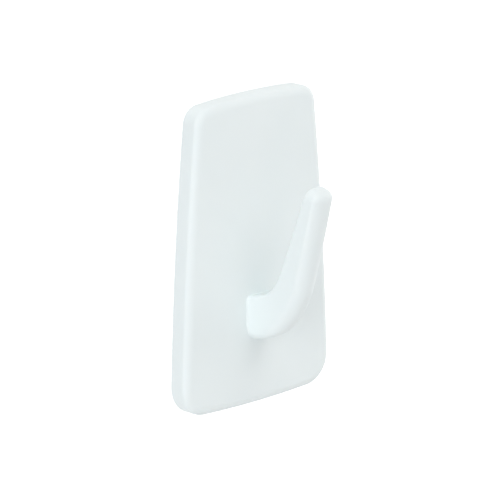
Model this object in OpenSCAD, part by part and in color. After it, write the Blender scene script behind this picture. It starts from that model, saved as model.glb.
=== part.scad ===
// Slide-on adhesive wall hook. A hollow moulded plate carries a J-shaped hook in one piece with it.
// It slides down over a flat base, and a stretch-release strip holds that base to the wall.
// X runs across the hook, Y into the wall and Z up. The origin is the middle of the strip's wall face.

/* [Plate] */
// Height between the upper and the lower corner lines
plate_h = 65; // [60:0.5:80]
// Width between the upper corner points
top_w = 34.3; // [33:0.1:42]
// Width between the lower corner points
bottom_w = 43.1; // [38:0.1:50]
// How far each side edge bows out
side_bow = 0.7; // [0.2:0.1:1.5]
// How far the upper edge bows up
top_bow = 0.8; // [0.2:0.1:1.5]
// How far the lower edge bows down
bottom_bow = 0.8; // [0.2:0.1:1.5]
// Radius of the two upper corners
top_corner_r = 4; // [3.5:0.1:6]
// Radius of the two lower corners
bottom_corner_r = 6.4; // [4:0.1:8]
// Depth from the rim to the front face
plate_t = 4.45; // [4.2:0.05:6]
// How deep the rounding between the front face and the edge goes down the edge wall
edge_depth = 1.25; // [0.6:0.05:1.8]
// How far that rounding reaches into the front face
edge_reach = 1.9; // [0.6:0.1:2.4]
// Thickness of the edge wall at its rim
wall_t = 1.7; // [1.2:0.1:2]
// How much thicker that wall is at its root, so that it leaves the mould
wall_draft = 0.15; // [0.05:0.05:0.3]
// Rounding on the rim
rim_r = 0.25; // [0.1:0.05:0.4]
// Rounding between the edge wall and the front wall, inside
inner_r = 0.6; // [0.3:0.1:0.8]

/* [Hook] */
// Width of the arm
arm_w = 6.1; // [4:0.1:7]
// Width of the root where it leaves the plate
root_w = 6.4; // [5:0.1:8]
// Length over which the root narrows to the arm
root_taper = 7; // [4:0.5:10]
// Height of the root's middle above the lower corner line
root_rise = 18.15; // [16:0.05:22]
// Thickness of the root, top to bottom
root_t = 9.2; // [7:0.1:10]
// Slope of the root's middle line above level, in degrees
root_slope = 8.4; // [0:0.2:12]
// Length of the root before the bend
root_run = 0.4; // [0.2:0.1:3]
// Radius of the bend, along its middle line
bend_r = 14.1; // [11:0.1:16]
// Thickness where the bend runs into the arm
bend_t = 6.5; // [4.5:0.1:7]
// Length of the arm from the bend to the round tip
arm_run = 20.1; // [14:0.1:26]
// Lean of the arm away from upright where it leaves the bend, in degrees
arm_lean = 19.4; // [8:0.1:25]
// Radius of the faint curve that brings the arm more upright towards its tip
arm_curve_r = 320; // [200:10:1000]
// Thickness of the arm where the round tip starts
tip_t = 3.8; // [2:0.1:4.5]
// Height of the round tip
tip_h = 1.8; // [1:0.1:3]
// How far the tip draws in on each side
tip_draw_in = 2.2; // [1:0.1:2.6]
// Rounding of the long edges that face the plate
inner_edge_r = 0.7; // [0.3:0.1:1]
// How deep the crown is that the hook turns to the room, as a share of its thickness
crown_share = 0.33; // [0.15:0.01:0.45]
// Fillet round the root, on the plate
root_fillet = 0.8; // [0.4:0.1:1.2]

/* [Mounting base] */
// Width over the two flanges
base_w = 25; // [24:0.1:25.4]
// Height of the base
base_h = 42; // [41:0.5:45]
// Thickness of the base
base_t = 2.6; // [2.4:0.05:2.8]
// Width of the stem between the rails' lips
stem_w = 21; // [20.6:0.1:21.6]
// Thickness of the flanges that the rails hold
flange_t = 1; // [0.8:0.05:1.2]
// Radius of the base's corners, which lead it into the rails
base_corner_r = 2.4; // [1.5:0.1:4]
// Depth of the recesses in the base's front
recess_depth = 1.1; // [0.6:0.05:1.4]
// Thickness of the ribs between those recesses
recess_rib = 1.3; // [1:0.1:2]
// Rows of recesses
recess_rows = 4; // [2:1:6]
// Radius of the grip cut in the base's lower edge
grip_r = 5; // [3:0.5:7]

/* [Rails] */
// Thickness of the webs that stand beside the base
web_t = 1.5; // [1.2:0.1:1.6]
// Thickness of the lips behind the flanges
lip_t = 1; // [0.8:0.05:1.1]
// Height of the slope that leads the base in under each lip
lead_in = 2.5; // [1:0.5:4]
// Thickness of the stiffening ribs
rib_t = 1.2; // [0.8:0.1:1.5]
// Depth of the stiffening ribs behind the front wall
rib_depth = 1.5; // [1:0.1:2]
// Thickness of the stop bar that rests on the base
stop_t = 1.6; // [1.2:0.1:2.4]
// Short ribs between each rail and the edge wall
side_ribs = 4; // [2:1:6]
// Upright ribs between the stop bar and the upper edge
top_ribs = 3; // [1:1:4]

/* [Adhesive strip] */
// Width of the strip
strip_w = 20; // [16:0.5:20.5]
// Height of its adhesive part
strip_l = 40; // [36:0.5:40.5]
// Thickness of the foam
foam_t = 0.6; // [0.4:0.05:0.8]
// Thickness of each adhesive layer
adhesive_t = 0.15; // [0.1:0.05:0.2]
// Radius of the strip's upper corners
strip_corner_r = 1.5; // [0.5:0.1:3]
// Height of the pull tab
tab_l = 10; // [8:0.5:12]
// Radius of the pull tab's lower corners
tab_corner_r = 4; // [2:0.5:6]
// Thickness of the foam in the tab, which the films press thinner
tab_foam_t = 0.4; // [0.3:0.05:0.5]
// Thickness of each film on the tab
film_t = 0.1; // [0.06:0.02:0.12]
// How far the plate reaches below the tab, to the lower corner line
tab_cover = 2.5; // [1.5:0.5:5]

/* [Fits] */
// Gap between the sliding faces of base and rails
slide_gap = 0.1; // [0.05:0.01:0.15]
// How far the rim stands forward of the base's back
rim_clear = 0.25; // [0.2:0.05:0.4]

/* [Hidden] */
$fn = 48;
shell_colour = [0.92, 0.95, 0.95];
base_colour = [0.86, 0.88, 0.88];
foam_colour = [0.95, 0.95, 0.93];
adhesive_colour = [0.93, 0.91, 0.82];
film_colour = [0.80, 0.86, 0.90];
// Steps along each kind of curve
bow_steps = 6;
side_steps = 12;
corner_steps = 8;
edge_steps = 6;
rim_steps = 2;
inner_steps = 3;
section_steps = 4;
crown_steps = 14;
bend_steps = 12;
arm_steps = 6;
tip_steps = 6;
fillet_steps = 4;
// A cutter runs past what it cuts by this much, and joined features sink into each other by it
overrun = 0.5;
// The root's fillet starts this far round, in degrees, because its first stretch lies flush with the plate
fillet_start = 20;
// Length over which the sections turn from parallel with the plate to square with the middle line
section_turn = 5;
// The tip's last ring, as a share of the tip's height
tip_end_share = 0.97;

strip_t = foam_t + 2 * adhesive_t;
tab_t = tab_foam_t + 2 * film_t;
base_back = -strip_t;
base_face = base_back - base_t;
rim_y = base_back - rim_clear;
face_y = rim_y - plate_t;
inner_y = base_face - slide_gap;
face_wall = inner_y - face_y;
root_sink = face_wall / 2;
strip_top = strip_l / 2;
strip_low = -strip_l / 2;
tab_low = strip_low - tab_l;
base_top = base_h / 2;
plate_low = tab_low - tab_cover;
plate_top = plate_low + plate_h;
slot_half = base_w / 2 + slide_gap;
lip_half = stem_w / 2 + slide_gap;
lip_face = base_face + flange_t + slide_gap;
rib_end = inner_y + rib_depth;

function heading(v) = atan2(v.y, v.x);
function bow_radius(chord, bow) = (chord * chord / 4 + bow * bow) / (2 * bow);

// Where two circles cross. Of the two places, side picks the one left (1) or right (-1) of the line p to q
function crossing(p, p_r, q, q_r, side) =
    let (gap = norm(q - p), along = (p_r * p_r - q_r * q_r + gap * gap) / (2 * gap))
    let (off = sqrt(p_r * p_r - along * along), u = (q - p) / gap)
    p + along * u + side * off * [-u.y, u.x];

// The outline's four long edges are shallow arcs, and each corner is an arc that runs smoothly into both
top_curve = bow_radius(top_w, top_bow);
top_centre = [0, plate_top + top_bow - top_curve];
low_curve = bow_radius(bottom_w, bottom_bow);
low_centre = [0, plate_low - bottom_bow + low_curve];
side_top = [top_w / 2, plate_top];
side_low = [bottom_w / 2, plate_low];
side_dir = (side_top - side_low) / norm(side_top - side_low);
side_curve = bow_radius(norm(side_top - side_low), side_bow);
side_centre = (side_top + side_low) / 2 + (side_curve - side_bow) * [-side_dir.y, side_dir.x];
top_corner = crossing(top_centre, top_curve - top_corner_r, side_centre, side_curve - top_corner_r, -1);
low_corner = crossing(low_centre, low_curve - bottom_corner_r, side_centre, side_curve - bottom_corner_r, 1);

// Points along an arc, each with its outward direction. The last point is left to the next arc
function arc_run(centre, r, from, to, steps) =
    [for (i = [0:steps - 1])
        let (a = from + (to - from) * i / steps, u = [cos(a), sin(a)])
        [centre + r * u, u]];

right_side = concat(
    arc_run(top_centre, top_curve, 90, heading(top_corner - top_centre), bow_steps),
    arc_run(top_corner, top_corner_r, heading(top_corner - top_centre),
        heading(top_corner - side_centre), corner_steps),
    arc_run(side_centre, side_curve, heading(top_corner - side_centre),
        heading(low_corner - side_centre), side_steps),
    arc_run(low_corner, bottom_corner_r, heading(low_corner - side_centre),
        heading(low_corner - low_centre), corner_steps),
    arc_run(low_centre, low_curve, heading(low_corner - low_centre), -90, bow_steps),
    [[low_centre - [0, low_curve], [0, -1]]]);
outline = concat(right_side,
    [for (i = [len(right_side) - 2:-1:1]) [for (v = right_side[i]) [-v.x, v.y]]]);

// The outline drawn in by inset, at depth y
function plate_ring(inset, y) = [for (p = outline) let (q = p[0] - inset * p[1]) [q.x, y, q.y]];

// Half the plate's width at height z, from the side arc
function half_width(z) = side_centre.x + sqrt(side_curve * side_curve - pow(z - side_centre.y, 2));

// Inset and depth down the front rounding, along the wall, over the rim and back up inside
wall_profile = concat(
    [for (i = [0:edge_steps]) let (a = 90 * i / edge_steps)
        [edge_reach * (1 - sin(a)), face_y + edge_depth * (1 - cos(a))]],
    [for (i = [0:rim_steps]) let (a = 90 * i / rim_steps)
        [rim_r * (1 - cos(a)), rim_y - rim_r * (1 - sin(a))]],
    [[wall_t, rim_y]],
    [for (i = [0:inner_steps]) let (a = 90 * i / inner_steps)
        [wall_t + wall_draft + inner_r * (1 - cos(a)), inner_y + inner_r * (1 - sin(a))]]);

// The hook's middle line, as distance out from the plate and height, with s the length along it
arm_angle = 90 - arm_lean;
bend_run = bend_r * (arm_angle - root_slope) * PI / 180;
arm_start = root_run + bend_run;
hook_run = arm_start + arm_run;

// The end of an arc that starts at p and turns upwards from one slope to another
function arc_end(p, r, from, to) = p + r * [sin(to) - sin(from), cos(from) - cos(to)];

root_start = [0, plate_low + root_rise];
bend_start = root_start + root_run * [cos(root_slope), sin(root_slope)];
bend_end = arc_end(bend_start, bend_r, root_slope, arm_angle);

function line_angle(s) =
    s < arm_start ? root_slope + (arm_angle - root_slope) * max((s - root_run) / bend_run, 0)
    : arm_angle + (s - arm_start) / arm_curve_r * 180 / PI;
function line_point(s) =
    s < 0 ? root_start + s * [1, 0]
    : s < root_run ? root_start + s * [cos(root_slope), sin(root_slope)]
    : s < arm_start ? arc_end(bend_start, bend_r, root_slope, line_angle(s))
    : arc_end(bend_end, arm_curve_r, arm_angle, line_angle(s));

// Full thickness and width of the hook at s
function thick_at(s) =
    s < arm_start ? root_t + (bend_t - root_t) * max(s, 0) / arm_start
    : bend_t + (tip_t - bend_t) * min((s - arm_start) / arm_run, 1);
function wide_at(s) = arm_w + (root_w - arm_w) * pow(1 - min(max(s / root_taper, 0), 1), 2);

// A section's outline: flat with two rounded corners towards the plate, and crowned towards the room
function section(half_w, half_t, round_r, crown) =
    let (r = min(round_r, half_t, half_w))
    concat(
        [for (side = [1, -1], i = [0:section_steps])
            let (a = 90 * i / section_steps + (side < 0 ? 90 : 0))
            [side * (half_w - r) + r * cos(a), half_t - r + r * sin(a)]],
        [for (i = [0:crown_steps])
            let (a = 180 + 180 * i / crown_steps)
            [half_w * cos(a), crown - half_t + crown * sin(a)]]);

// One ring of the hook, grown by flare and set across the middle line
function hook_ring(s, half_w, half_t, flare) =
    let (lean = line_angle(s) * min(max(s / section_turn, 0), 1), p = line_point(s))
    [for (v = section(half_w + flare, half_t + flare, inner_edge_r + flare, 2 * half_t * crown_share + flare))
        [v.x, face_y - (p.x - sin(lean) * v.y), p.y + cos(lean) * v.y]];
function plain_ring(s, flare = 0) = hook_ring(s, wide_at(s) / 2, thick_at(s) / 2, flare);

// The fillet's flare, and how far out from the plate it is, at angle a round it
function flare_at(a) = root_fillet * (1 - sin(a));
function reach_at(a) = root_fillet * (1 - cos(a));

hook_rings = concat(
    [plain_ring(-root_sink, flare_at(fillet_start))],
    [for (i = [0:fillet_steps]) let (a = fillet_start + (90 - fillet_start) * i / fillet_steps)
        plain_ring(reach_at(a), flare_at(a))],
    [for (i = [1:bend_steps]) plain_ring(root_fillet + (arm_start - root_fillet) * i / bend_steps)],
    [for (i = [1:arm_steps]) plain_ring(arm_start + arm_run * i / arm_steps)],
    [for (i = [1:tip_steps]) let (a = asin(tip_end_share) * i / tip_steps)
        hook_ring(hook_run + sin(a) * tip_h, arm_w / 2 - tip_draw_in * (1 - cos(a)), cos(a) * tip_t / 2, 0)]);

// Joins equal rings into one closed skin. The first ring runs clockwise, seen from outside its end
module skin(rings) {
    n = len(rings[0]);
    ends = (len(rings) - 1) * n;
    sides = [for (i = [0:len(rings) - 2], j = [0:n - 1])
        let (a = i * n + j, b = i * n + (j + 1) % n)
        each [[a, a + n, b + n], [a, b + n, b]]];
    polyhedron(points = [for (r = rings) each r],
        faces = concat([[for (j = [0:n - 1]) j]], sides, [[for (j = [n - 1:-1:0]) ends + j]]));
}

// A box between two corners
module block(low, high) {
    translate(low) cube(high - low);
}

// A rectangle in X and Z with round corners, between two depths
module rounded_slab(w, low_z, top_z, r, back, front) {
    translate([0, back, 0]) rotate([90, 0, 0]) linear_extrude(back - front) {
        translate([-w / 2, low_z + r]) square([w, top_z - low_z - 2 * r]);
        translate([r - w / 2, low_z]) square([w - 2 * r, top_z - low_z]);
        for (x = [r - w / 2, w / 2 - r], z = [low_z + r, top_z - r]) translate([x, z]) circle(r);
    }
}

// A layer of the strip in X and Z, from its square end to the end with round corners, between two depths
module strip_layer(square_z, round_z, r, back, front) {
    shoulder_z = round_z - sign(round_z - square_z) * r;
    half_w = strip_w / 2;
    translate([0, back, 0]) rotate([90, 0, 0]) linear_extrude(back - front) {
        translate([-half_w, min(square_z, shoulder_z)]) square([strip_w, abs(shoulder_z - square_z)]);
        translate([r - half_w, min(square_z, round_z)]) square([strip_w - 2 * r, abs(round_z - square_z)]);
        for (side = [-1, 1]) translate([side * (half_w - r), shoulder_z]) circle(r);
    }
}

// The right rail: an upright web with a lip that reaches in behind the base's flange
module rail() {
    web_low = plate_low + wall_t / 2;
    block([slot_half, inner_y - overrun, web_low], [slot_half + web_t, lip_face + lip_t, base_top + stop_t]);
    lip_low = plate_low + wall_t + wall_draft;
    translate([0, lip_face + lip_t, 0]) rotate([90, 0, 0]) linear_extrude(lip_t)
        polygon([[slot_half + overrun, lip_low], [slot_half, lip_low], [lip_half, lip_low + lead_in],
            [lip_half, base_top + stop_t / 2], [slot_half + overrun, base_top + stop_t / 2]]);
}

// Short ribs from the right rail to the edge wall
module rail_ribs() {
    low_z = low_corner.y;
    pitch = (base_top - low_z) / (side_ribs - 1);
    for (i = [0:side_ribs - 1])
        let (z = low_z + i * pitch)
        block([slot_half + web_t - overrun, inner_y - overrun, z - rib_t / 2],
            [half_width(z) - wall_t / 2, rib_end, z + rib_t / 2]);
}

// The bar that comes to rest on the base, and the ribs above it
module stop_and_ribs() {
    block([-slot_half - web_t, inner_y - overrun, base_top],
        [slot_half + web_t, lip_face + lip_t, base_top + stop_t]);
    pitch = 2 * slot_half / (top_ribs + 1);
    for (i = [1:top_ribs])
        let (x = -slot_half + i * pitch)
        block([x - rib_t / 2, inner_y - overrun, base_top + stop_t / 2],
            [x + rib_t / 2, rib_end, plate_top - wall_t / 2]);
}

module hook_shell() {
    color(shell_colour) difference() {
        union() {
            skin([for (p = wall_profile) plate_ring(p[0], p[1])]);
            skin(hook_rings);
            stop_and_ribs();
            for (side = [0, 1]) mirror([side, 0, 0]) {
                rail();
                rail_ribs();
            }
        }
        // The lower edge is open between the rails, where the base goes in
        block([-slot_half, inner_y, plate_low - bottom_bow - overrun],
            [slot_half, rim_y + overrun, plate_low + wall_t + wall_draft]);
    }
}

// Recesses in the base's front, in two columns
module base_recesses() {
    column_w = (stem_w - 3 * recess_rib) / 2;
    low_z = -base_top + grip_r + recess_rib;
    row_h = (base_top - low_z) / recess_rows - recess_rib;
    for (side = [-1, 1], row = [0:recess_rows - 1])
        let (z = low_z + row * (row_h + recess_rib))
        translate([side * (column_w + recess_rib) / 2, 0, 0])
            rounded_slab(column_w, z, z + row_h, recess_rib / 2,
                base_face + recess_depth, base_face - overrun);
}

module mounting_base() {
    color(base_colour) difference() {
        union() {
            rounded_slab(base_w, -base_top, base_top, base_corner_r, base_face + flange_t, base_face);
            rounded_slab(stem_w, -base_top, base_top, base_corner_r, base_back, base_face);
        }
        base_recesses();
        // A half-round cut, where fingers get hold of the tab
        translate([0, base_back + overrun, -base_top]) rotate([90, 0, 0])
            cylinder(r = grip_r, h = base_t + 2 * overrun);
    }
}

// One layer of the strip's adhesive part, from back to front
module body_layer(back, front) {
    strip_layer(strip_low, strip_top, strip_corner_r, back, front);
}

module foam_core() {
    color(foam_colour) body_layer(-adhesive_t, -adhesive_t - foam_t);
}

module wall_adhesive() {
    color(adhesive_colour) body_layer(0, -adhesive_t);
}

module base_adhesive() {
    color(adhesive_colour) body_layer(-adhesive_t - foam_t, -strip_t);
}

// One layer of the tab, from back to front. Its upper edge meets the strip
module tab_layer(back, front) {
    strip_layer(strip_low, tab_low, tab_corner_r, back, front);
}

tab_back = -(strip_t - tab_t) / 2;
tab_foam_back = tab_back - film_t;
tab_foam_front = tab_foam_back - tab_foam_t;

module tab_foam() {
    color(foam_colour) tab_layer(tab_foam_back, tab_foam_front);
}

module tab_film_wall() {
    color(film_colour) tab_layer(tab_back, tab_foam_back);
}

module tab_film_base() {
    color(film_colour) tab_layer(tab_foam_front, tab_back - tab_t);
}

hook_shell();
mounting_base();
foam_core();
wall_adhesive();
base_adhesive();
tab_foam();
tab_film_wall();
tab_film_base();
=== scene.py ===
import math

import bpy
import bmesh
from mathutils import Matrix, Vector


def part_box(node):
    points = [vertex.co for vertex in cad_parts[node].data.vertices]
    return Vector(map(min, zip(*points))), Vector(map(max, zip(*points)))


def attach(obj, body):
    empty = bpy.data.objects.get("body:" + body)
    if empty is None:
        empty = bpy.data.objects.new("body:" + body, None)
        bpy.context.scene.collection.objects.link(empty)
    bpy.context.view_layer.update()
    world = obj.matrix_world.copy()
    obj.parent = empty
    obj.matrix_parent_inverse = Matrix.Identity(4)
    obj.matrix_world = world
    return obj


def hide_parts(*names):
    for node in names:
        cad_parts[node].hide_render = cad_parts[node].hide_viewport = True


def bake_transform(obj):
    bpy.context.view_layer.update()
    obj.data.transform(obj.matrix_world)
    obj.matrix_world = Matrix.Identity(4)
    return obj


# Slide-on wall hook: a moulded plate with a J-hook, a flanged base behind it and a stretch-release strip.
# Sizes in the dictionaries are in millimetres. X runs across, Y into the wall and Z up.
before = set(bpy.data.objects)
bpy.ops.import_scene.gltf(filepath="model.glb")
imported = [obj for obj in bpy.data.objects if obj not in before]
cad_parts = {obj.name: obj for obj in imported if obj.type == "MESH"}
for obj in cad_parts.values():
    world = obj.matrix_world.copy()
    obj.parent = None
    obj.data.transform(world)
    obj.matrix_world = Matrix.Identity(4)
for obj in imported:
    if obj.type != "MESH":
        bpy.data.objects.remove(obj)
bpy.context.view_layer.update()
scene = bpy.context.scene
scene.view_settings.view_transform = "Standard"
mm = 0.001
overrun = 0.5  # How far a cutter reaches past what it cuts
print("frame loaded")


def boxOf(node):
    # A frame node's two corners, in millimetres
    low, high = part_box(node)
    return low / mm, high / mm


shellLow, shellHigh = boxOf("hook_shell")
baseLow, baseHigh = boxOf("mounting_base")


# Outlines

# An outline is a list of points in X and Z. Each point comes with its outward direction


def direction(angle):
    return Vector((math.cos(angle), math.sin(angle)))


def heading(v):
    return math.atan2(v.y, v.x)


def between(first, last, share):
    return first + (last - first) * min(max(share, 0), 1)


def arcRun(centre, radius, first, last, steps):
    # Part of a circle, without its last point
    ways = [direction(first + (last - first) * k / steps) for k in range(steps)]
    return [(centre + radius * way, way) for way in ways]


def circle(x, z, radius, steps=40):
    return arcRun(Vector((x, z)), radius, 0, math.tau, steps)


def mirrored(outline):
    # The same outline on the other side of the middle plane, running the same way round
    return [(Vector((-p.x, p.y)), Vector((-n.x, n.y))) for p, n in reversed(outline)]


def rectangle(x0, z0, x1, z1):
    return [Vector((x0, z0)), Vector((x1, z0)), Vector((x1, z1)), Vector((x0, z1))]


def roundedPolygon(corners, radius, steps=6):
    # The corners run anticlockwise
    outline = []
    for k, corner in enumerate(corners):
        arrive = (corner - corners[k - 1]).normalized()
        leave = (corners[(k + 1) % len(corners)] - corner).normalized()
        turn = math.atan2(arrive.x * leave.y - arrive.y * leave.x, arrive.dot(leave))
        centre = corner + (leave - arrive).normalized() * radius / math.cos(turn / 2)
        first = math.atan2(-arrive.x, arrive.y)
        for s in range(steps + 1):
            way = direction(first + turn * s / steps)
            outline.append((centre + radius * way, way))
    return outline


def quarter(radius, steps):
    # Inset and travel of a quarter round that starts drawn in and ends flush
    angles = [math.radians(90) * k / steps for k in range(steps + 1)]
    return [(radius * (1 - math.sin(a)), radius * (1 - math.cos(a))) for a in angles]


# Meshes


def newObject(name, data):
    obj = bpy.data.objects.new(name, data)
    scene.collection.objects.link(obj)
    return obj


def ringObject(name, rings):
    # Skins equal rings of points into one closed mesh
    count = len(rings[0])
    last = (len(rings) - 1) * count
    faces = [
        (r * count + k, r * count + (k + 1) % count, (r + 1) * count + (k + 1) % count, (r + 1) * count + k)
        for r in range(len(rings) - 1) for k in range(count)
    ]
    faces += [tuple(range(count)), tuple(range(last, last + count))]
    mesh = bpy.data.meshes.new(name)
    mesh.from_pydata([Vector(p) * mm for ring in rings for p in ring], [], faces)
    shape = bmesh.new()
    shape.from_mesh(mesh)
    bmesh.ops.recalc_face_normals(shape, faces=shape.faces)
    shape.to_mesh(mesh)
    shape.free()
    return newObject(name, mesh)


def profiledObject(name, outline, profile):
    # Rings of one outline. The profile gives how far each is drawn in, and its depth
    return ringObject(name, [
        [(p.x - inset * n.x, y, p.y - inset * n.y) for p, n in outline] for inset, y in profile])


def slabObject(name, outline, back, front, edge):
    # A flat body with softened edges, between two depths
    softening = quarter(edge, steps=3)
    profile = [(inset, back - travel) for inset, travel in softening]
    profile += [(inset, front + travel) for inset, travel in reversed(softening)]
    return profiledObject(name, outline, profile)


def evaluated(obj):
    # The object's shape with its modifiers applied, as a plain mesh. The object itself goes
    name = obj.name
    graph = bpy.context.evaluated_depsgraph_get()
    mesh = bpy.data.meshes.new_from_object(obj.evaluated_get(graph))
    bpy.data.objects.remove(obj)
    return newObject(name, mesh)


def combine(obj, others, operation):
    # Joins the others to the object, or cuts them out of it
    for other in others:
        step = obj.modifiers.new(other.name, "BOOLEAN")
        step.object = other
        step.operation = operation
        step.solver = "EXACT"
    result = evaluated(obj)
    for other in others:
        bpy.data.objects.remove(other)
    return result


def finishPiece(obj, material, creaseAngle=32):
    # Smooth shading that keeps flat faces flat and creases crisp, and one material all over
    obj.data.shade_smooth()
    obj.data.set_sharp_from_angle(angle=math.radians(creaseAngle))
    weights = obj.modifiers.new("weights", "WEIGHTED_NORMAL")
    weights.keep_sharp = True
    piece = evaluated(obj)
    piece.data.materials.clear()
    piece.data.materials.append(material)
    return piece


# Nodes


def feed(tree, node, values):
    # Links or sets the node's inputs, by name or number
    for key, value in values.items():
        if isinstance(value, bpy.types.NodeSocket):
            tree.links.new(value, node.inputs[key])
        else:
            node.inputs[key].default_value = value


def addNode(tree, kind, values=None, **settings):
    node = tree.nodes.new(kind)
    for key, value in settings.items():
        setattr(node, key, value)
    feed(tree, node, values or {})
    return node


def calculate(tree, operation, first, second):
    return addNode(tree, "ShaderNodeMath", {0: first, 1: second}, operation=operation).outputs[0]


def spreadOver(tree, value, oldRange, newRange):
    # Stretches one range of values on to another, and holds them within it
    return addNode(tree, "ShaderNodeMapRange", {
        0: value, 1: oldRange[0], 2: oldRange[1], 3: newRange[0], 4: newRange[1]}).outputs[0]


def mixedValue(tree, share, first, second):
    return addNode(tree, "ShaderNodeMix", {0: share, 2: first, 3: second}, data_type="FLOAT").outputs[0]


def mixedColour(tree, share, first, second):
    return addNode(tree, "ShaderNodeMix", {0: share, 6: first, 7: second}, data_type="RGBA").outputs[2]


def nodeGroup(name, kind, inputs, outputs):
    # A tree with named inputs, each with its first value or None, and named outputs
    tree = bpy.data.node_groups.new(name, kind)
    for label, socketKind, value in inputs:
        socket = tree.interface.new_socket(label, in_out="INPUT", socket_type="NodeSocket" + socketKind)
        if value is not None:
            socket.default_value = value
    for label, socketKind in outputs:
        tree.interface.new_socket(label, in_out="OUTPUT", socket_type="NodeSocket" + socketKind)
    return tree, addNode(tree, "NodeGroupInput").outputs


# Geometry Nodes


def finishTree(tree, geometry, material):
    # Instances become real faces, because the export drops instances
    real = addNode(tree, "GeometryNodeRealizeInstances", {0: geometry})
    painted = addNode(tree, "GeometryNodeSetMaterial", {"Geometry": real.outputs[0], "Material": material})
    addNode(tree, "NodeGroupOutput", {0: painted.outputs[0]})


def runTree(name, tree, values):
    # Evaluates a tree on an empty mesh with the given inputs and keeps the result as a plain mesh
    obj = newObject(name, bpy.data.meshes.new(name))
    step = obj.modifiers.new(tree.name, "NODES")
    step.node_group = tree
    for item in tree.interface.items_tree:
        if item.in_out == "INPUT" and item.name in values:
            step[item.identifier] = values[item.name]
    return evaluated(obj)


def ribRowTree():
    # A row of ribs. Each copy of the blank, one metre long, is stretched until it meets the wall
    tree, given = nodeGroup("ribRow", "GeometryNodeTree", [
        ("First", "Vector", None), ("Pitch", "Vector", None), ("Count", "Int", 4), ("Turn", "Float", 0.0),
        ("Sink", "Float", 0.0), ("Longest", "Float", 0.05), ("Blank", "Object", None),
        ("Wall", "Object", None), ("Material", "Material", None)], [("Geometry", "Geometry")])
    line = addNode(tree, "GeometryNodeMeshLine", {
        "Count": given["Count"], "Start Location": given["First"], "Offset": given["Pitch"]}, mode="OFFSET")
    way = addNode(tree, "ShaderNodeVectorRotate", {"Vector": (1, 0, 0), "Angle": given["Turn"]},
                  rotation_type="Y_AXIS")
    wall = addNode(tree, "GeometryNodeObjectInfo", {"Object": given["Wall"]})
    blank = addNode(tree, "GeometryNodeObjectInfo", {"Object": given["Blank"]})
    ray = addNode(tree, "GeometryNodeRaycast", {
        "Target Geometry": wall.outputs["Geometry"], "Ray Direction": way.outputs[0],
        "Ray Length": given["Longest"]})
    reach = calculate(tree, "ADD", ray.outputs["Hit Distance"], given["Sink"])
    stretch = addNode(tree, "ShaderNodeCombineXYZ", {"X": reach, "Y": 1.0, "Z": 1.0})
    turn = addNode(tree, "ShaderNodeCombineXYZ", {"Y": given["Turn"]})
    copies = addNode(tree, "GeometryNodeInstanceOnPoints", {
        "Points": line.outputs[0], "Instance": blank.outputs["Geometry"],
        "Rotation": turn.outputs[0], "Scale": stretch.outputs[0]})
    finishTree(tree, copies.outputs[0], given["Material"])
    return tree


def copyGridTree():
    # Copies of a blank in columns along X and rows along Z, about a centre
    tree, given = nodeGroup("copyGrid", "GeometryNodeTree", [
        ("Centre", "Vector", None), ("Columns", "Int", 2), ("Rows", "Int", 2),
        ("Column pitch", "Float", 0.01), ("Row pitch", "Float", 0.01), ("Blank", "Object", None),
        ("Material", "Material", None)], [("Geometry", "Geometry")])
    half = []
    for label in ("Column", "Row"):
        gaps = calculate(tree, "SUBTRACT", given[label + "s"], 1.0)
        whole = calculate(tree, "MULTIPLY", gaps, given[label + " pitch"])
        half.append(calculate(tree, "MULTIPLY", whole, 0.5))
    corner = addNode(tree, "ShaderNodeCombineXYZ", {"X": half[0], "Z": half[1]})
    start = addNode(tree, "ShaderNodeVectorMath", {0: given["Centre"], 1: corner.outputs[0]},
                    operation="SUBTRACT")
    acrossStep = addNode(tree, "ShaderNodeCombineXYZ", {"X": given["Column pitch"]})
    upStep = addNode(tree, "ShaderNodeCombineXYZ", {"Z": given["Row pitch"]})
    row = addNode(tree, "GeometryNodeMeshLine", {
        "Count": given["Columns"], "Start Location": start.outputs[0], "Offset": acrossStep.outputs[0]},
        mode="OFFSET")
    column = addNode(tree, "GeometryNodeMeshLine", {
        "Count": given["Rows"], "Offset": upStep.outputs[0]}, mode="OFFSET")
    blank = addNode(tree, "GeometryNodeObjectInfo", {"Object": given["Blank"]})
    stack = addNode(tree, "GeometryNodeInstanceOnPoints", {
        "Points": column.outputs[0], "Instance": blank.outputs["Geometry"]})
    copies = addNode(tree, "GeometryNodeInstanceOnPoints", {
        "Points": row.outputs[0], "Instance": stack.outputs[0]})
    finishTree(tree, copies.outputs[0], given["Material"])
    return tree


gridTree = copyGridTree()


def gridObject(name, blank, material, centre, columns, rows, columnPitch, rowPitch):
    # Copies of the blank about a centre, in one mesh. The blank goes
    made = runTree(name, gridTree, {
        "Centre": tuple(Vector(centre) * mm), "Columns": columns, "Rows": rows,
        "Column pitch": columnPitch * mm, "Row pitch": rowPitch * mm, "Blank": blank, "Material": material})
    bpy.data.objects.remove(blank)
    return made


# Materials


def fineGrainGroup():
    # The fine spark texture of a mould, with a few soft hollows
    tree, given = nodeGroup("fineGrain", "ShaderNodeTree", [
        ("Vector", "Vector", None), ("Grains per metre", "Float", 6000.0),
        ("Hollows per metre", "Float", 700.0), ("Hollow share", "Float", 0.35)], [("Height", "Float")])
    grains = addNode(tree, "ShaderNodeTexNoise", {
        "Vector": given["Vector"], "Scale": given["Grains per metre"], "Detail": 3.0, "Roughness": 0.55})
    hollows = addNode(tree, "ShaderNodeTexNoise", {
        "Vector": given["Vector"], "Scale": given["Hollows per metre"], "Detail": 2.0, "Roughness": 0.5})
    height = mixedValue(tree, given["Hollow share"], grains.outputs["Fac"], hollows.outputs["Fac"])
    addNode(tree, "NodeGroupOutput", {"Height": height})
    return tree


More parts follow.
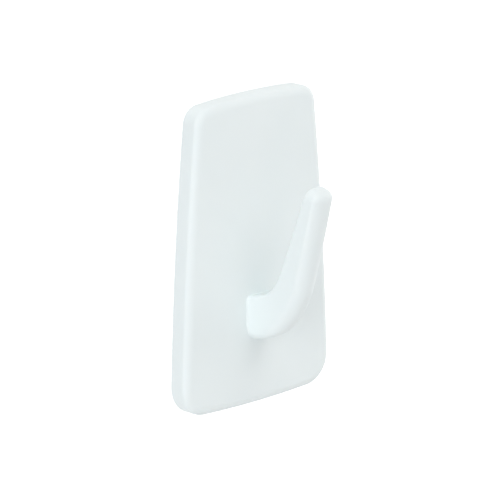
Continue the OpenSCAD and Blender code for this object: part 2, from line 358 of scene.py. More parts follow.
def toneDriftGroup():
    # The slow change of tone in a moulding, where the plastic flowed thick or thin
    tree, given = nodeGroup("toneDrift", "ShaderNodeTree", [
        ("Vector", "Vector", None), ("Colour", "Color", (0.8, 0.8, 0.8, 1)),
        ("Drifted colour", "Color", (0.7, 0.7, 0.7, 1)), ("Patches per metre", "Float", 40.0),
        ("Specks per metre", "Float", 2500.0), ("Speck share", "Float", 0.25)], [("Colour", "Color")])
    patches = addNode(tree, "ShaderNodeTexNoise", {
        "Vector": given["Vector"], "Scale": given["Patches per metre"], "Detail": 2.0, "Distortion": 0.6})
    specks = addNode(tree, "ShaderNodeTexNoise", {
        "Vector": given["Vector"], "Scale": given["Specks per metre"], "Detail": 2.0})
    mask = mixedValue(tree, given["Speck share"], patches.outputs["Fac"], specks.outputs["Fac"])
    share = spreadOver(tree, mask, (0.3, 0.7), (0.0, 1.0))
    addNode(tree, "NodeGroupOutput", {
        "Colour": mixedColour(tree, share, given["Colour"], given["Drifted colour"])})
    return tree


def rubMarksGroup():
    # Faint hairlines and patches that handling leaves, as a roughness
    tree, given = nodeGroup("rubMarks", "ShaderNodeTree", [
        ("Vector", "Vector", None), ("Lines per metre", "Float", 900.0),
        ("Patches per metre", "Float", 120.0), ("Lowest", "Float", 0.4), ("Highest", "Float", 0.5)],
        [("Roughness", "Float")])
    stretched = addNode(tree, "ShaderNodeMapping", {
        "Vector": given["Vector"], "Rotation": (0.3, 0.5, 0.2), "Scale": (1.0, 1.0, 0.06)})
    lines = addNode(tree, "ShaderNodeTexNoise", {
        "Vector": stretched.outputs[0], "Scale": given["Lines per metre"], "Detail": 3.0})
    patches = addNode(tree, "ShaderNodeTexNoise", {
        "Vector": given["Vector"], "Scale": given["Patches per metre"], "Detail": 3.0})
    rubbed = calculate(tree, "MULTIPLY", lines.outputs["Fac"], patches.outputs["Fac"])
    addNode(tree, "NodeGroupOutput", {
        "Roughness": spreadOver(tree, rubbed, (0.12, 0.4), (given["Lowest"], given["Highest"]))})
    return tree


shared = {"grain": fineGrainGroup(), "drift": toneDriftGroup(), "rubs": rubMarksGroup()}


def addGroup(tree, name, values):
    return addNode(tree, "ShaderNodeGroup", values, node_tree=shared[name])


def newMaterial(name):
    # Also gives its tree, its shader and the place on the object that the patterns read
    material = bpy.data.materials.new(name)
    material.use_nodes = True
    tree = material.node_tree
    place = addNode(tree, "ShaderNodeTexCoord").outputs["Object"]
    return material, tree, tree.nodes["Principled BSDF"], place


def driftingColour(tree, place, look, colour):
    return addGroup(tree, "drift", {
        "Vector": place, "Colour": colour, "Drifted colour": (*look["driftedColour"], 1),
        "Patches per metre": look["patchesPerMetre"], "Speck share": look["speckShare"]}).outputs["Colour"]


def rubbedRoughness(tree, place, look):
    lowest, highest = look["roughness"]
    return addGroup(tree, "rubs", {
        "Vector": place, "Lines per metre": look["linesPerMetre"],
        "Lowest": lowest, "Highest": highest}).outputs["Roughness"]


def bumpedNormal(tree, height, look):
    return addNode(tree, "ShaderNodeBump", {
        "Height": height, "Strength": look["bumpStrength"],
        "Distance": look["bumpHeight"] * mm}).outputs["Normal"]


def plasticMaterial(name, look):
    # Moulded plastic. The look's numbers that are the same all over go on the shader itself
    material, tree, shader, place = newMaterial(name)
    grain = addGroup(tree, "grain", {
        "Vector": place, "Grains per metre": look["grainsPerMetre"],
        "Hollows per metre": look["hollowsPerMetre"], "Hollow share": look["hollowShare"]})
    feed(tree, shader, {
        "Base Color": driftingColour(tree, place, look, (*look["colour"], 1)),
        "Roughness": rubbedRoughness(tree, place, look),
        "Normal": bumpedNormal(tree, grain.outputs["Height"], look),
        "IOR": look["ior"],
        "Subsurface Weight": look["glow"],
        "Subsurface Radius": look["glowColour"],
        "Subsurface Scale": look["glowDepth"] * mm})
    return material


shellLook = {
    "colour": (0.84, 0.89, 0.89), "driftedColour": (0.815, 0.87, 0.872), "patchesPerMetre": 45,
    "speckShare": 0.2, "grainsPerMetre": 7000, "hollowsPerMetre": 900, "hollowShare": 0.3,
    "bumpStrength": 0.35, "bumpHeight": 0.02, "roughness": (0.52, 0.62), "linesPerMetre": 900,
    "ior": 1.46, "glow": 0.08, "glowDepth": 0.8, "glowColour": (1.0, 0.9, 0.8),
}
baseLook = {
    "colour": (0.74, 0.78, 0.78), "driftedColour": (0.69, 0.735, 0.74), "patchesPerMetre": 60,
    "speckShare": 0.2, "grainsPerMetre": 5000, "hollowsPerMetre": 700, "hollowShare": 0.4,
    "bumpStrength": 0.4, "bumpHeight": 0.02, "roughness": (0.3, 0.42), "linesPerMetre": 900,
    "ior": 1.49, "glow": 0.2, "glowDepth": 1.2, "glowColour": (1.0, 0.9, 0.8),
}


def foamMaterial(name, look):
    # Closed-cell foam: fine round cells, with a slightly rough skin. The cells' hollows are painted darker,
    # which is painted shade
    material, tree, shader, place = newMaterial(name)
    cells = addNode(tree, "ShaderNodeTexVoronoi", {
        "Vector": place, "Scale": look["cellsPerMetre"], "Randomness": 0.9}, feature="SMOOTH_F1")
    reliefAndShade = spreadOver(tree, cells.outputs["Distance"], (0.1, 0.6), (0.0, 1.0))
    # Where the bump is low, in the cells' hollows, the colour darkens: painted shade
    colour = mixedColour(tree, reliefAndShade, (*look["paintedPoreShade"], 1), (*look["colour"], 1))
    feed(tree, shader, {
        "Base Color": driftingColour(tree, place, look, colour),
        "Roughness": look["roughness"],
        "Normal": bumpedNormal(tree, reliefAndShade, look),
        "Subsurface Weight": look["glow"],
        "Subsurface Scale": look["glowDepth"] * mm})
    return material


foamLook = {
    "colour": (0.88, 0.88, 0.85), "paintedPoreShade": (0.76, 0.76, 0.72), "driftedColour": (0.84, 0.84, 0.80),
    "patchesPerMetre": 90, "speckShare": 0.3, "cellsPerMetre": 5200, "bumpStrength": 0.8,
    "bumpHeight": 0.05, "roughness": 0.75, "glow": 0.15, "glowDepth": 0.5,
}


def layerMaterial(name, look):
    # A thin coated layer, adhesive or film: faintly rippled, with its own gloss
    material, tree, shader, place = newMaterial(name)
    stretched = addNode(tree, "ShaderNodeMapping", {"Vector": place, "Scale": look["rippleScale"]})
    ripples = addNode(tree, "ShaderNodeTexNoise", {
        "Vector": stretched.outputs[0], "Scale": look["ripplesPerMetre"], "Detail": 2.0})
    feed(tree, shader, {
        "Base Color": driftingColour(tree, place, look, (*look["colour"], 1)),
        "Roughness": rubbedRoughness(tree, place, look),
        "Normal": bumpedNormal(tree, ripples.outputs["Fac"], look),
        "IOR": look["ior"]})
    return material


adhesiveLook = {
    "colour": (0.87, 0.86, 0.80), "driftedColour": (0.845, 0.83, 0.76), "patchesPerMetre": 160,
    "speckShare": 0.3, "roughness": (0.24, 0.4), "linesPerMetre": 60, "rippleScale": (1, 1, 1),
    "ripplesPerMetre": 1600, "bumpStrength": 0.45, "bumpHeight": 0.04, "ior": 1.47,
}
filmLook = {
    "colour": (0.80, 0.85, 0.88), "driftedColour": (0.775, 0.83, 0.865), "patchesPerMetre": 80,
    "speckShare": 0.15, "roughness": (0.16, 0.3), "linesPerMetre": 150, "rippleScale": (0.3, 1, 1),
    "ripplesPerMetre": 260, "bumpStrength": 0.35, "bumpHeight": 0.08, "ior": 1.55,
}

shellPlastic = plasticMaterial("shellPlastic", shellLook)
basePlastic = plasticMaterial("basePlastic", baseLook)
stripFoam = foamMaterial("stripFoam", foamLook)
stripAdhesive = layerMaterial("stripAdhesive", adhesiveLook)
tabFilm = layerMaterial("tabFilm", filmLook)
print("materials ready")


# Mounting base

base = {
    "flange": 1.0, "stemWidth": 21, "corner": 2.4, "edge": 0.12, "grip": 5, "gripEdge": 0.1,
    "recessDepth": 1.1, "recessRib": 1.3, "recessColumns": 2, "recessRows": 4, "recessEdge": 0.25,
    "markRadius": 1.0, "markDepth": 0.08, "markEdge": 0.03,
}


def baseObject():
    # Two slabs make the T-shaped section: wide flanges in front and a narrower stem on the strip's side
    wide, narrow = baseHigh.x, base["stemWidth"] / 2
    low, high, front, back = baseLow.z, baseHigh.z, baseLow.y, baseHigh.y
    wideOutline = roundedPolygon(rectangle(-wide, low, wide, high), base["corner"], steps=12)
    stemOutline = roundedPolygon(rectangle(-narrow, low, narrow, high), base["corner"], steps=12)
    flanges = slabObject("mounting_base_body", wideOutline, front + base["flange"], front, base["edge"])
    stem = slabObject("stem", stemOutline, back, front, base["edge"])
    body = combine(flanges, [stem], "UNION")

    # Recesses between ribs of one thickness, each with the round mark of an ejector pin in its floor
    rib, columns, rows = base["recessRib"], base["recessColumns"], base["recessRows"]
    columnPitch = (base["stemWidth"] - rib) / columns
    recessLow = low + base["grip"] + rib
    rowPitch = (high - recessLow) / rows
    halfColumn, halfRow = (columnPitch - rib) / 2, (rowPitch - rib) / 2
    floorY = front + base["recessDepth"]
    place = dict(centre=(0, 0, (recessLow + high - rib) / 2), columns=columns, rows=rows,
                 columnPitch=columnPitch, rowPitch=rowPitch)
    recessOutline = roundedPolygon(rectangle(-halfColumn, -halfRow, halfColumn, halfRow), rib / 2)
    recess = slabObject("recess", recessOutline, floorY, front - overrun, base["recessEdge"])
    markOutline = circle(0, 0, base["markRadius"])
    mark = slabObject("mark", markOutline, floorY + base["markDepth"], floorY - overrun, base["markEdge"])
    gripOutline = circle(0, low, base["grip"], steps=96)
    grip = slabObject("grip", gripOutline, back + overrun, front - overrun, base["gripEdge"])
    return combine(body, [gridObject("recesses", recess, basePlastic, **place),
                          gridObject("marks", mark, basePlastic, **place), grip], "DIFFERENCE")


# Moulded shell

plate = {
    "topWidth": 34.3, "bottomWidth": 43.1, "sideBow": 0.7, "topBow": 0.8, "bottomBow": 0.8,
    "topCorner": 4, "bottomCorner": 6.4, "depth": 4.45, "edgeDepth": 1.25, "edgeReach": 1.9,
    "wall": 1.7, "draft": 0.15, "rimRadius": 0.25, "innerRadius": 0.6, "faceWall": 2.0,
    "steps": {"top": 14, "topCorner": 18, "side": 26, "bottomCorner": 20, "bottom": 16,
              "edge": 12, "rim": 4, "inside": 6},
}
rimY = shellHigh.y
faceY = rimY - plate["depth"]
innerY = faceY + plate["faceWall"]
plateTop = shellHigh.z - plate["topBow"]
plateLow = shellLow.z + plate["bottomBow"]
wallFoot = plate["wall"] + plate["draft"]  # The wall's thickness where it meets the face


def bowRadius(chord, bow):
    return (chord * chord / 4 + bow * bow) / (2 * bow)


def crossing(p, pRadius, q, qRadius, side):
    # Where two circles cross, left (1) or right (-1) of the line from p to q
    gap = (q - p).length
    along = (pRadius ** 2 - qRadius ** 2 + gap ** 2) / (2 * gap)
    off = math.sqrt(pRadius ** 2 - along ** 2)
    u = (q - p) / gap
    return p + along * u + side * off * Vector((-u.y, u.x))


topCurve = bowRadius(plate["topWidth"], plate["topBow"])
lowCurve = bowRadius(plate["bottomWidth"], plate["bottomBow"])
topCentre = Vector((0, shellHigh.z - topCurve))
lowCentre = Vector((0, shellLow.z + lowCurve))
sideTop = Vector((plate["topWidth"] / 2, plateTop))
sideLow = Vector((plate["bottomWidth"] / 2, plateLow))
sideWay = (sideTop - sideLow).normalized()
sideCurve = bowRadius((sideTop - sideLow).length, plate["sideBow"])
sideCentre = (sideTop + sideLow) / 2 + (sideCurve - plate["sideBow"]) * Vector((-sideWay.y, sideWay.x))
topCorner = crossing(
    topCentre, topCurve - plate["topCorner"], sideCentre, sideCurve - plate["topCorner"], -1)
lowCorner = crossing(
    lowCentre, lowCurve - plate["bottomCorner"], sideCentre, sideCurve - plate["bottomCorner"], 1)


def plateOutline():
    # Four shallow arcs and four corner arcs that run smoothly into one another, clockwise from the top
    steps = plate["steps"]
    topEnd, sideStart = heading(topCorner - topCentre), heading(topCorner - sideCentre)
    sideEnd, lowStart = heading(lowCorner - sideCentre), heading(lowCorner - lowCentre)
    right = arcRun(topCentre, topCurve, math.radians(90), topEnd, steps["top"])
    right += arcRun(topCorner, plate["topCorner"], topEnd, sideStart, steps["topCorner"])
    right += arcRun(sideCentre, sideCurve, sideStart, sideEnd, steps["side"])
    right += arcRun(lowCorner, plate["bottomCorner"], sideEnd, lowStart, steps["bottomCorner"])
    right += arcRun(lowCentre, lowCurve, lowStart, math.radians(-90), steps["bottom"])
    right.append((lowCentre - Vector((0, lowCurve)), Vector((0, -1))))
    return right + mirrored(right[1:-1])


def plateObject():
    # Rings run over the front rounding, along the wall, over the rim and back up inside
    steps = plate["steps"]
    profile = [(plate["edgeReach"] * inset, faceY + plate["edgeDepth"] * travel)
               for inset, travel in quarter(1, steps["edge"])]
    profile += [(travel, rimY - inset) for inset, travel in quarter(plate["rimRadius"], steps["rim"])]
    profile.append((plate["wall"], rimY))
    profile += [(wallFoot + travel, innerY + inset)
                for inset, travel in quarter(plate["innerRadius"], steps["inside"])]
    return profiledObject("shell_moulding", plateOutline(), profile)


# The hook is swept along a line that starts in the plate, bends up and goes on as a nearly straight arm.
# Slopes and leans are in degrees. The seat is its top near the plate, and the belly its underside there
hook = {
    "rootWidth": 6.4, "rootThickness": 9.2, "rootRise": 18.15, "rootSlope": 8.4, "rootRun": 0.4,
    "rootTaper": 7, "rootSink": 1.0, "rootFillet": 0.6, "filletStart": 20, "rootCrownShare": 0.41,
    "bendRadius": 14.1, "bendThickness": 6.5, "armWidth": 6.1, "armRun": 20.1, "armLean": 19.4,
    "armCurveRadius": 320, "crownShare": 0.33, "innerEdge": 0.7, "sectionTurn": 5.0,
    "tipThickness": 3.77, "tipHeight": 2.4, "tipDrawIn": 2.9, "tipShift": 0.9, "tipEndShare": 0.985,
    "seatHeight": 4.9, "seatRise": 0.25, "seatBlend": 0.15,
    "belly": 0.36, "bellySquareness": 1.2, "bellyRun": 9.6, "bellySkew": 0.78,
    "steps": {"innerEdge": 7, "crown": 24, "fillet": 8, "bend": 36, "arm": 18, "tip": 14},
}
rootSlope = math.radians(hook["rootSlope"])
armAngle = math.radians(90 - hook["armLean"])
bendRun = hook["bendRadius"] * (armAngle - rootSlope)
armStart = hook["rootRun"] + bendRun
hookRun = armStart + hook["armRun"]


def arcEnd(point, radius, first, last):
    # The end of an arc that starts at a point and turns upwards from one slope to another
    return point + radius * Vector((math.sin(last) - math.sin(first), math.cos(first) - math.cos(last)))


rootStart = Vector((0, plateLow + hook["rootRise"]))
bendStart = rootStart + hook["rootRun"] * direction(rootSlope)
bendEnd = arcEnd(bendStart, hook["bendRadius"], rootSlope, armAngle)


def hookAngle(s):
    # The middle line's slope, s along it from the plate
    if s < armStart:
        return rootSlope + (armAngle - rootSlope) * max((s - hook["rootRun"]) / bendRun, 0)
    return armAngle + (s - armStart) / hook["armCurveRadius"]


def hookPoint(s):
    # The middle line, as distance out from the plate and height
    if s < 0:
        return rootStart + s * Vector((1, 0))
    if s < hook["rootRun"]:
        return rootStart + s * direction(rootSlope)
    if s < armStart:
        return arcEnd(bendStart, hook["bendRadius"], rootSlope, hookAngle(s))
    return arcEnd(bendEnd, hook["armCurveRadius"], armAngle, hookAngle(s))


def hookThickness(s):
    if s < armStart:
        return between(hook["rootThickness"], hook["bendThickness"], s / armStart)
    return between(hook["bendThickness"], hook["tipThickness"], (s - armStart) / hook["armRun"])


def hookWidth(s):
    taper = 1 - between(0, 1, s / hook["rootTaper"])
    return between(hook["armWidth"], hook["rootWidth"], taper ** 2)


def seatFill(place, lean, thick):
    # Extra height that brings the top of the root up to the seat's line, which rises evenly from the plate
    way = Vector((-math.sin(lean), math.cos(lean)))
    top = place + thick * way
    line = rootStart.y + hook["seatHeight"] + hook["seatRise"] * top.x
    missing = (line - top.y) / (way.y - hook["seatRise"] * way.x)
    return (missing + math.hypot(missing, hook["seatBlend"])) / 2


def bellyShare(s):
    # Rises and falls along the underside, which is fuller and squarer a little way out from the plate
    return math.sin(math.pi * between(0, 1, s / hook["bellyRun"]) ** hook["bellySkew"])


def hookRing(s, halfWidth, halfThickness, flare, shift=0.0):
    # A section set across the middle line: flat towards the plate, crowned towards the room
    lean = hookAngle(s) * between(0, 1, s / hook["sectionTurn"])
    place = hookPoint(s)
    wide, thick = halfWidth + flare, halfThickness + flare
    inner = min(hook["innerEdge"] + flare, wide, thick)
    top = thick + seatFill(place, lean, thick)
    crown = 2 * halfThickness * between(hook["rootCrownShare"], hook["crownShare"], s / armStart) + flare
    low = thick + hook["belly"] * bellyShare(s)
    power = 2 / (2 + hook["bellySquareness"] * bellyShare(s))
    edgeSteps, crownSteps = hook["steps"]["innerEdge"], hook["steps"]["crown"]
    section = []
    for side, first in ((1, 0), (-1, 90)):
        for k in range(edgeSteps + 1):
            a = math.radians(first + 90 * k / edgeSteps)
            section.append((side * (wide - inner) + inner * math.cos(a), top - inner + inner * math.sin(a)))
    for k in range(crownSteps + 1):
        a = math.radians(180 + 180 * k / crownSteps)
        across, below = (math.copysign(abs(share) ** power, share) for share in (math.cos(a), math.sin(a)))
        section.append((wide * across, crown - low + crown * below))
    back, rise = math.sin(lean), math.cos(lean)
    return [(across, faceY - place.x + back * (up + shift), place.y + rise * (up + shift))
            for across, up in section]


def hookObject():
    # Rings from inside the plate, through the root's fillet, round the bend, up the arm and over the tip
    steps, fillet, filletStart = hook["steps"], hook["rootFillet"], hook["filletStart"]
    rings = []

    def plain(s, flare=0.0):
        rings.append(hookRing(s, hookWidth(s) / 2, hookThickness(s) / 2, flare))

    plain(-hook["rootSink"], fillet * (1 - math.sin(math.radians(filletStart))))
    for k in range(steps["fillet"] + 1):
        a = math.radians(filletStart + (90 - filletStart) * k / steps["fillet"])
        plain(fillet * (1 - math.cos(a)), fillet * (1 - math.sin(a)))
    for k in range(1, steps["bend"] + 1):
        plain(fillet + (armStart - fillet) * k / steps["bend"])
    for k in range(1, steps["arm"] + 1):
        plain(armStart + hook["armRun"] * k / steps["arm"])
    for k in range(1, steps["tip"] + 1):
        a = math.asin(hook["tipEndShare"]) * k / steps["tip"]
        drawn = 1 - math.cos(a)
        rings.append(hookRing(
            hookRun + math.sin(a) * hook["tipHeight"], hook["armWidth"] / 2 - hook["tipDrawIn"] * drawn,
            math.cos(a) * hook["tipThickness"] / 2, 0, hook["tipShift"] * drawn))
    return ringObject("hook", rings)


# Rails with lips hold the base's flanges, and a stop bar lies over them. The gap is the sliding fit
rails = {
    "gap": 0.1, "web": 1.5, "webCorner": 0.3, "lip": 1.0, "lipCorner": 0.16, "leadIn": 2.5, "stop": 1.6,
    "sunk": 0.5, "edge": 0.15, "ribThickness": 1.2, "ribDepth": 1.5, "ribRound": 0.3, "ribSteps": 4,
    "sideRibs": 4, "topRibs": 3, "longestRib": 50, "notchCorner": 0.2, "notchEdge": 0.05,
}
slotHalf = baseHigh.x + rails["gap"]
lipHalf = base["stemWidth"] / 2 + rails["gap"]
lipFace = baseLow.y + base["flange"] + rails["gap"]
lipBack = lipFace + rails["lip"]
lipLow = plateLow + wallFoot
stopTop = baseHigh.z + rails["stop"]
stopMiddle = baseHigh.z + rails["stop"] / 2
railOut = slotHalf + rails["web"]


def railObjects():
    # Webs and lips on both sides, and the stop bar. All reach a little way into what carries them
    sunkY = innerY - rails["sunk"]
    outer = slotHalf + rails["sunk"]
    webLow = plateLow + plate["wall"] / 2
    web = roundedPolygon(rectangle(slotHalf, webLow, railOut, stopTop), rails["webCorner"])
    lip = roundedPolygon([
        Vector((outer, lipLow)), Vector((outer, stopMiddle)), Vector((lipHalf, stopMiddle)),
        Vector((lipHalf, lipLow + rails["leadIn"])), Vector((slotHalf, lipLow))], rails["lipCorner"])
    stop = roundedPolygon(rectangle(-railOut, baseHigh.z, railOut, stopTop), rails["webCorner"])
    return [
        slabObject("web_right", web, lipBack, sunkY, rails["edge"]),
        slabObject("lip_right", lip, lipBack, lipFace, rails["edge"]),
        slabObject("web_left", mirrored(web), lipBack, sunkY, rails["edge"]),
        slabObject("lip_left", mirrored(lip), lipBack, lipFace, rails["edge"]),
        slabObject("stop", stop, lipBack, sunkY, rails["edge"]),
    ]


def ribBlank():
    # A rib one metre long along X, with its two free edges rounded. Its middle depth lies at the origin
    half, middle, soft = rails["ribThickness"] / 2, rails["ribDepth"] / 2, rails["ribRound"]
    section = [(-half, -middle - rails["sunk"])]
    for centre, start in ((soft - half, 180), (half - soft, 90)):
        for k in range(rails["ribSteps"] + 1):
            a = math.radians(start - 90 * k / rails["ribSteps"])
            section.append((centre + soft * math.cos(a), middle - soft + soft * math.sin(a)))
    section.append((half, -middle - rails["sunk"]))
    return ringObject("rib_blank", [[(x, y, z) for z, y in section] for x in (0, 1 / mm)])


sidePitch = (baseHigh.z - lowCorner.y) / (rails["sideRibs"] - 1)
topPitch = 2 * slotHalf / (rails["topRibs"] + 1)


def ribObjects(wall):
    # The rays run at the ribs' middle depth, clear of the fillet at the wall's foot
    tree = ribRowTree()
    blank = ribBlank()
    start, depth = railOut - rails["sunk"], innerY + rails["ribDepth"] / 2
    rows = [
        ("ribs_right", (start, depth, lowCorner.y), (0, 0, sidePitch), rails["sideRibs"], 0),
        ("ribs_left", (-start, depth, lowCorner.y), (0, 0, sidePitch), rails["sideRibs"], 180),
        ("ribs_top", (topPitch - slotHalf, depth, stopMiddle), (topPitch, 0, 0), rails["topRibs"], -90),
    ]
    made = []
    for name, first, pitch, count, turn in rows:
        made.append(runTree(name, tree, {
            "First": tuple(Vector(first) * mm), "Pitch": tuple(Vector(pitch) * mm), "Count": count,
            "Turn": math.radians(turn), "Sink": plate["wall"] / 2 * mm, "Longest": rails["longestRib"] * mm,
            "Blank": blank, "Wall": wall, "Material": shellPlastic}))
    bpy.data.objects.remove(blank)
    return made


def notchCutter():
    # Opens the lower wall between the rails, where the base slides in
    opening = rectangle(-slotHalf, shellLow.z - overrun, slotHalf, lipLow)
    outline = roundedPolygon(opening, rails["notchCorner"])
    return slabObject("notch", outline, rimY + overrun, innerY, rails["notchEdge"])


pinMarks = {"topRadius": 1.2, "sideRadius": 0.8, "sideX": 15.4, "depth": 0.1, "edge": 0.04}


def pinMarkCutters():
    # Shallow round dents that the mould's ejector pins leave, one in each bay between the ribs
    def blank(radius):
        return slabObject("pin", circle(0, 0, radius), innerY + overrun, innerY - pinMarks["depth"],
                          pinMarks["edge"])

    topMiddle = (stopTop + plateTop - plate["wall"]) / 2
    sideMiddle = (baseHigh.z + lowCorner.y) / 2
    return [
        gridObject("pins_top", blank(pinMarks["topRadius"]), shellPlastic, (0, 0, topMiddle),
                   rails["topRibs"] + 1, 1, topPitch, 0),
        gridObject("pins_side", blank(pinMarks["sideRadius"]), shellPlastic, (0, 0, sideMiddle),
                   2, rails["sideRibs"] - 1, 2 * pinMarks["sideX"], sidePitch),
    ]


shell = plateObject()
ribs = ribObjects(shell)
shell = combine(shell, [hookObject()] + railObjects() + ribs, "UNION")
shell = combine(shell, [notchCutter()] + pinMarkCutters(), "DIFFERENCE")
shell = finishPiece(shell, shellPlastic)
print("shell moulded,", len(shell.data.polygons), "faces")
mountingBase = finishPiece(baseObject(), basePlastic)
print("base moulded,", len(mountingBase.data.polygons), "faces")


# Adhesive strip

strip = {
    "width": 20, "low": -20, "high": 20, "corner": 1.5, "foam": 0.6, "adhesive": 0.15,
    "tabLow": -30, "tabCorner": 4, "tabFoam": 0.4, "film": 0.1, "rowHeight": 1.0,
    "foamEdge": 0.08, "adhesiveEdge": 0.04, "filmEdge": 0.03,
}
stripDepth = strip["foam"] + 2 * strip["adhesive"]
tabDepth = strip["tabFoam"] + 2 * strip["film"]


def layerObject(name, roundEnd, corner, back, front, edge, material):
    # Rings lie across the strip and run along Z from its square end to a round one, close enough to stretch
    squareEnd, half = strip["low"], strip["width"] / 2
    way = 1 if roundEnd > squareEnd else -1
    shoulder = roundEnd - way * corner
    rows = round(abs(shoulder - squareEnd) / strip["rowHeight"])
    places = [(squareEnd + (shoulder - squareEnd) * k / rows, half) for k in range(rows)]
    places += [(roundEnd - way * rise, half - inset) for inset, rise in reversed(quarter(corner, steps=10))]
    middle, halfDepth = (back + front) / 2, (back - front) / 2

    def section(halfWidth):
        corners = rectangle(-halfWidth, -halfDepth, halfWidth, halfDepth)
        return [p for p, n in roundedPolygon(corners, edge, steps=4)]

    piece = ringObject(name, [[(p.x, middle + p.y, z) for p in section(wide)] for z, wide in places])
    return finishPiece(piece, material)


def stripLayer(name, back, front, edge, material):
    return layerObject(name, strip["high"], strip["corner"], back, front, edge, material)


def tabLayer(name, back, front, edge, material):
    return layerObject(name, strip["tabLow"], strip["tabCorner"], back, front, edge, material)


foamBack = -strip["adhesive"]
foamFront = foamBack - strip["foam"]
tabBack = (tabDepth - stripDepth) / 2
tabFoamBack = tabBack - strip["film"]
tabFoamFront = tabFoamBack - strip["tabFoam"]
foamEdge, adhesiveEdge, filmEdge = strip["foamEdge"], strip["adhesiveEdge"], strip["filmEdge"]
foamCore = stripLayer("strip_foam_core", foamBack, foamFront, foamEdge, stripFoam)
wallAdhesive = stripLayer("strip_wall_adhesive", 0, foamBack, adhesiveEdge, stripAdhesive)
baseAdhesive = stripLayer("strip_base_adhesive", foamFront, -stripDepth, adhesiveEdge, stripAdhesive)
tabFoam = tabLayer("tab_foam_end", tabFoamBack, tabFoamFront, foamEdge, stripFoam)
wallFilm = tabLayer("tab_wall_film", tabBack, tabFoamBack, filmEdge, tabFilm)
baseFilm = tabLayer("tab_base_film", tabFoamFront, tabBack - tabDepth, filmEdge, tabFilm)
print("strip laid")


# Camera and light

# The camera was fitted to the photo. It aims at a place beside and below the middle of the plate's rim
camera = {
    "azimuth": 44.80, "elevation": 15.22, "roll": -0.20, "distance": 1040, "lens": 357.8, "sensor": 36,
    "aimRight": 1.416, "aimUp": -0.866, "nearest": 50, "farthest": 50000,
}
turn, lift, roll = (math.radians(camera[k]) for k in ("azimuth", "elevation", "roll"))
ahead = Vector((math.sin(turn) * math.cos(lift), math.cos(turn) * math.cos(lift), -math.sin(lift)))
level = Vector((math.cos(turn), -math.sin(turn), 0))
upright = Vector((math.sin(turn) * math.sin(lift), math.cos(turn) * math.sin(lift), math.cos(lift)))
right = math.cos(roll) * level + math.sin(roll) * upright
up = -math.sin(roll) * level + math.cos(roll) * upright
aim = Vector((0, rimY, 0)) + camera["aimRight"] * right + camera["aimUp"] * up
eye = newObject("camera", bpy.data.cameras.new("camera"))
eye.data.lens = camera["lens"]
eye.data.sensor_width = camera["sensor"]
eye.data.clip_start = camera["nearest"] * mm
eye.data.clip_end = camera["farthest"] * mm
eye.matrix_world = Matrix.Translation((aim - camera["distance"] * ahead) * mm) @ Matrix(
    (right, up, -ahead)).transposed().to_4x4()
scene.camera = eye

# Lamps stand at a distance in metres, turned from the front (0) to the right (90), and raised, in degrees
lighting = {
    "ambient": 0.44,
    "distance": 1.2,
    "lamps": {
        "left_light": {"turned": -72, "raised": 12, "size": 0.9, "power": 5.9, "colour": (0.965, 1, 1.03)},
        "front_light": {"turned": -5, "raised": 38, "size": 0.9, "power": 2.2, "colour": (1, 1, 1)},
        "high_light": {"turned": 20, "raised": 60, "size": 0.9, "power": 3.3, "colour": (1, 1, 1)},
        "right_light": {"turned": 85, "raised": 10, "size": 0.9, "power": 4.6, "colour": (1, 1, 1)},
        "back_light": {"turned": 172, "raised": 45, "size": 0.9, "power": 3.1, "colour": (1, 1, 1)},
    },
}


def softbox(name, values):
    # A round soft lamp that looks at the object
    lamp = bpy.data.lights.new(name, "AREA")
    lamp.shape = "DISK"
    lamp.size = values["size"]
    lamp.energy = values["power"]
    lamp.color = values["colour"]
    obj = newObject(name, lamp)
    turned, raised = math.radians(values["turned"]), math.radians(values["raised"])
    out = math.cos(raised)
    way = Vector((math.sin(turned) * out, -math.cos(turned) * out, math.sin(raised)))
    obj.location = lighting["distance"] * way
    obj.rotation_euler = (-way).to_track_quat("-Z", "Y").to_euler()


def seenDirectly(tree):
    # One for rays that show the surface itself: from the camera, a reflection or through clear material
    path = addNode(tree, "ShaderNodeLightPath").outputs
    shown = calculate(tree, "MAXIMUM", path["Is Camera Ray"], path["Is Glossy Ray"])
    return calculate(tree, "MAXIMUM", shown, path["Is Transmission Ray"])


def plainWorld():
    # White behind the object and in its reflections, and an even pale light on it
    world = bpy.data.worlds.new("studio")
    scene.world = world
    world.use_nodes = True
    tree = world.node_tree
    feed(tree, tree.nodes["Background"], {
        "Color": (1, 1, 1, 1),
        "Strength": spreadOver(tree, seenDirectly(tree), (0.0, 1.0), (lighting["ambient"], 1.0))})


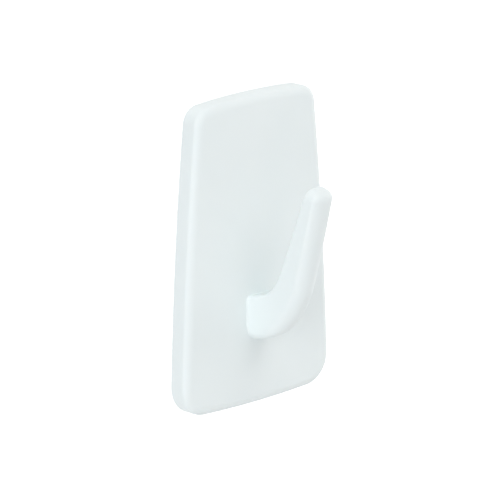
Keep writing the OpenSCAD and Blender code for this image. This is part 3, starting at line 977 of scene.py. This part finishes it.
stage = {"height": -250, "radius": 4000, "colour": 0.8, "whitening": 0.65}


def floorObject():
    # A wide pale disc below the object. It looks white, keeps the object's shadow and is clear from below
    disc = bpy.data.meshes.new("floor")
    points = [Vector((p.x, p.y, stage["height"])) * mm for p, n in circle(0, 0, stage["radius"], steps=96)]
    disc.from_pydata(points, [], [tuple(range(len(points)))])
    material = bpy.data.materials.new("floorWhite")
    material.use_nodes = True
    tree = material.node_tree
    tree.nodes.clear()
    matt = addNode(tree, "ShaderNodeBsdfDiffuse", {"Color": (stage["colour"],) * 3 + (1,)})
    strength = calculate(tree, "MULTIPLY", seenDirectly(tree), stage["whitening"])
    glow = addNode(tree, "ShaderNodeEmission", {"Strength": strength})
    above = addNode(tree, "ShaderNodeAddShader", {0: matt.outputs[0], 1: glow.outputs[0]})
    below = addNode(tree, "ShaderNodeBsdfTransparent")
    side = addNode(tree, "ShaderNodeNewGeometry")
    mixed = addNode(tree, "ShaderNodeMixShader", {
        0: side.outputs["Backfacing"], 1: above.outputs[0], 2: below.outputs[0]})
    addNode(tree, "ShaderNodeOutputMaterial", {"Surface": mixed.outputs[0]})
    disc.materials.append(material)
    return newObject("floor", disc)


for name, values in lighting["lamps"].items():
    softbox(name, values)
plainWorld()
floor = floorObject()
print("camera and light set")


# Riding, in place of the frame's parts

rigid = [
    (shell, "hook_shell", "shell", "shell_plastic"),
    (mountingBase, "mounting_base", "base", "base_plastic"),
    (tabFoam, "tab_foam", "pull_tab", "strip_foam"),
    (wallFilm, "tab_film_wall", "pull_tab", "tab_film"),
    (baseFilm, "tab_film_base", "pull_tab", "tab_film"),
]
for piece, node, body, slot in rigid:
    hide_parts(node)
    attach(piece, body)

stretching = [
    (foamCore, "foam_core", "strip_foam"),
    (wallAdhesive, "wall_adhesive", "strip_adhesive"),
    (baseAdhesive, "base_adhesive", "strip_adhesive"),
]
for piece, node, slot in stretching:
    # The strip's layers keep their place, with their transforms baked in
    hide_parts(node)
    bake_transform(piece)
